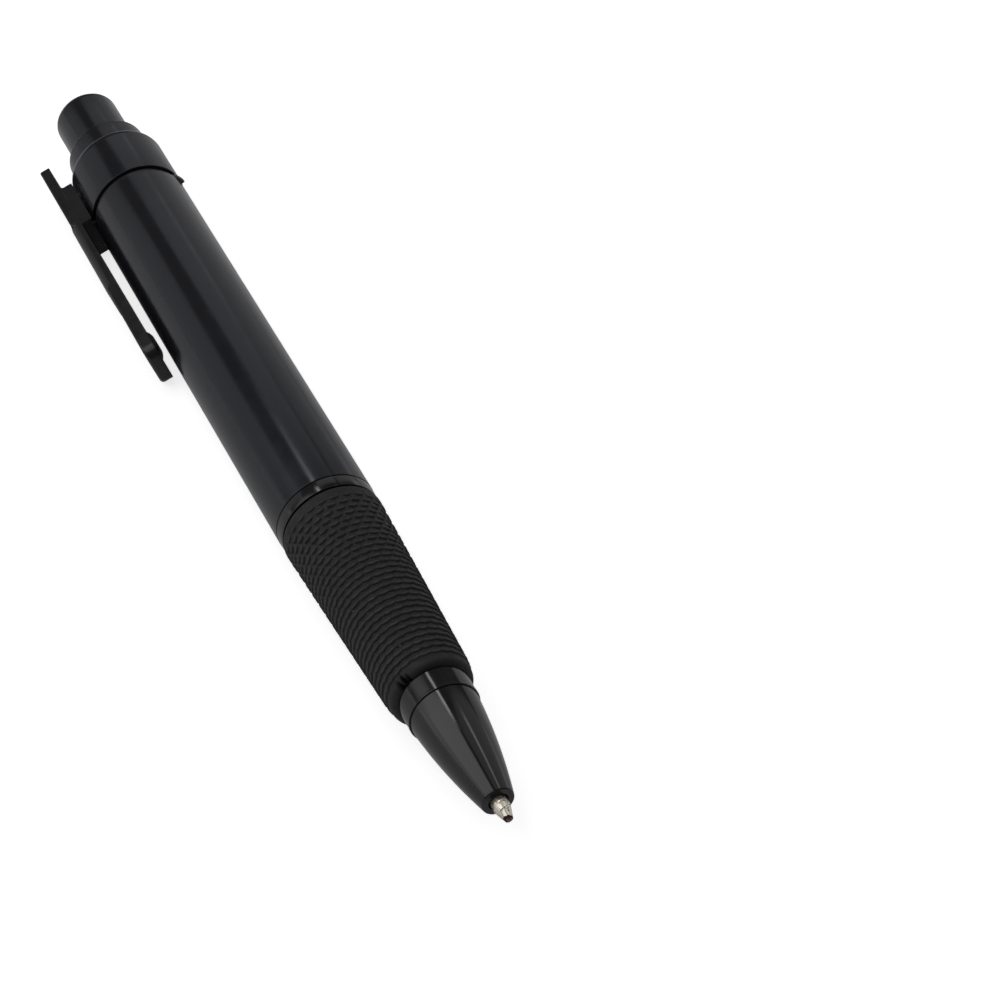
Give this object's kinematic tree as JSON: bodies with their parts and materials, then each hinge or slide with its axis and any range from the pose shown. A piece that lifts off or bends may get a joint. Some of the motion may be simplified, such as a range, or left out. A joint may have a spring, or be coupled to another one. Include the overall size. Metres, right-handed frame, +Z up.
{
  "type": "retractable ballpoint pen",
  "caption": "Black push-button ballpoint pen lying on its pocket clip with the point out: satin barrel, textured rubber grip, glossy nose and a click mechanism inside.",
  "frame": {"origin": "middle of the pen's bounding box, on the table it lies on", "axes": "+X along the pen towards its point, +Z up, with the clip on the -Y side resting on the table"},
  "size_m": [0.1418, 0.0164, 0.0133],
  "materials": {
    "satin_black": "satin moulded plastic",
    "clip_black": "satin moulded plastic",
    "gloss_black": "polished moulded plastic",
    "rubber_black": "matt rubber with raised scales",
    "white_plastic": "plain moulded plastic",
    "tube_plastic": "drawn plastic tube",
    "ink": "thick dark ink, modelled as a solid",
    "grease": "clear grease, modelled as a solid",
    "nickel": "turned nickel silver",
    "steel": "bright drawn steel"
  },
  "bodies": {
    "pen_body": {"barrel": "satin_black", "top_cap": "satin_black", "clip_ring": "clip_black", "cam_guide": "white_plastic", "front_section": "gloss_black", "grip_sleeve": "rubber_black", "nose_cone": "gloss_black", "return_spring": "steel"},
    "clip": {"clip_arm": "clip_black"},
    "button": {"push_button": "satin_black", "plunger": "white_plastic"},
    "refill": {"refill_tube": "tube_plastic", "refill_point": "nickel", "ink_column": "ink", "ink_follower": "grease"},
    "cam": {"cam_rotor": "white_plastic"},
    "ball": {"writing_ball": "steel"}
  },
  "joints": [
    {"name": "button_press", "type": "slide", "parent": "pen_body", "child": "button", "axis": [1, 0, 0], "range_m": [-0.005, 0.0012]},
    {"name": "refill_slide", "type": "slide", "parent": "pen_body", "child": "refill", "axis": [1, 0, 0], "range_m": [-0.005, 0.0012], "deforming": ["return_spring"]},
    {"name": "cam_turn", "type": "hinge", "parent": "refill", "child": "cam", "pos_m": [-0.04942, 0.00154, 0.00666], "axis": [1, 0, 0], "range_deg": [-11, 46]},
    {"name": "clip_flex", "type": "hinge", "parent": "pen_body", "child": "clip", "pos_m": [-0.04888, -0.0061, 0.00337], "axis": [0, 0.3949, -0.9187], "range_deg": [0, 6], "stiffness_Nm_per_rad": 0.7},
    {"name": "ball_roll", "type": "hinge", "parent": "refill", "child": "ball", "pos_m": [0.07047, 0.00154, 0.00666], "axis": [0, 1, 0], "continuous": true}
  ],
  "couplings": [
    {"joint": "refill_slide", "follows": "button_press", "ratio": 1},
    {"joint": "cam_turn", "follows": "button_press", "rad_per_m": -157.08}
  ]
}
